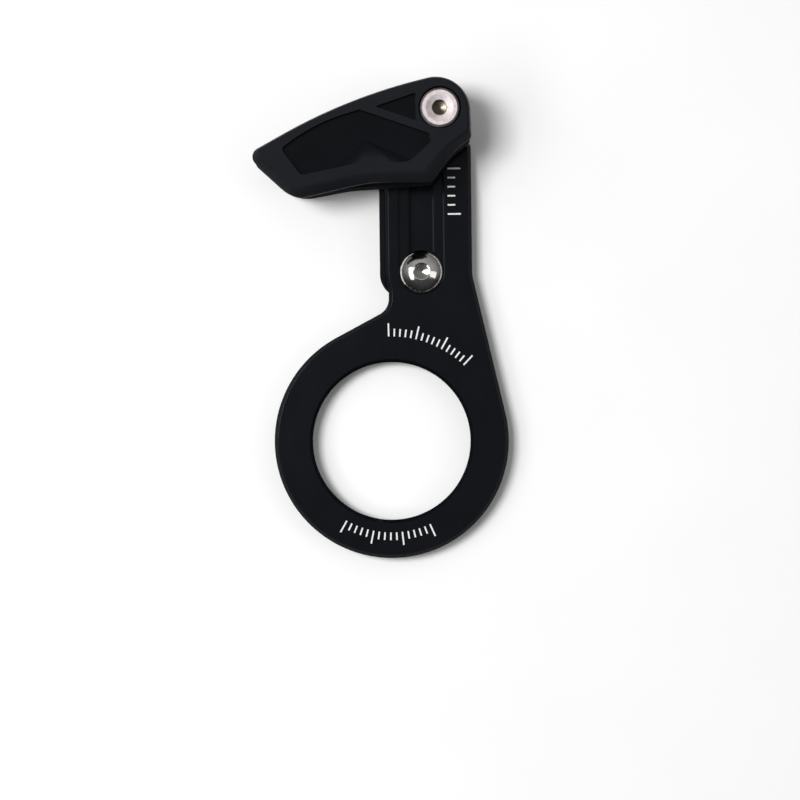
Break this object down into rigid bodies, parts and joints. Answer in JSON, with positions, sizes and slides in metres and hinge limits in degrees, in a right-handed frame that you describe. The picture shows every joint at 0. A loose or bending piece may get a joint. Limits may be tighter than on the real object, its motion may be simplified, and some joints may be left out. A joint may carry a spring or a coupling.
{
  "type": "bicycle chain guide",
  "caption": "Chain guide for a bicycle crankset: a ring plate clamps under the bottom bracket cup, and a height-adjustable slider carries a nylon cage for the chain.",
  "frame": {"origin": "centre of the bottom bracket bore, on the plate's rear face", "axes": "+Z along the bore, away from the bicycle frame; +Y along the arm towards the cage; +X towards the front of the bicycle"},
  "size_m": [0.0555, 0.1051, 0.0224],
  "materials": {
    "anodised_plate": "black anodised, fine satin",
    "anodised_slider": "black anodised, fine satin",
    "polished_steel": "polished stainless steel",
    "satin_steel": "turned stainless steel, satin",
    "nylon_inner": "moulded black nylon, fine grain",
    "nylon_outer": "moulded black nylon, fine grain"
  },
  "bodies": {
    "plate": {"back_plate": "anodised_plate"},
    "carriage": {"slider": "anodised_slider", "clamp_screw": "polished_steel", "pivot_screw": "satin_steel", "inner_guide": "nylon_inner"},
    "gate": {"outer_guide": "nylon_outer"}
  },
  "joints": [
    {"name": "height", "type": "slide", "parent": "plate", "child": "carriage", "axis": [0, 1, 0], "range_m": [0, 0.0202]},
    {"name": "swing", "type": "hinge", "parent": "carriage", "child": "gate", "pos_m": [0.01125, 0.0723, 0.01], "axis": [0, 0, -1], "range_deg": [0, 100]}
  ]
}
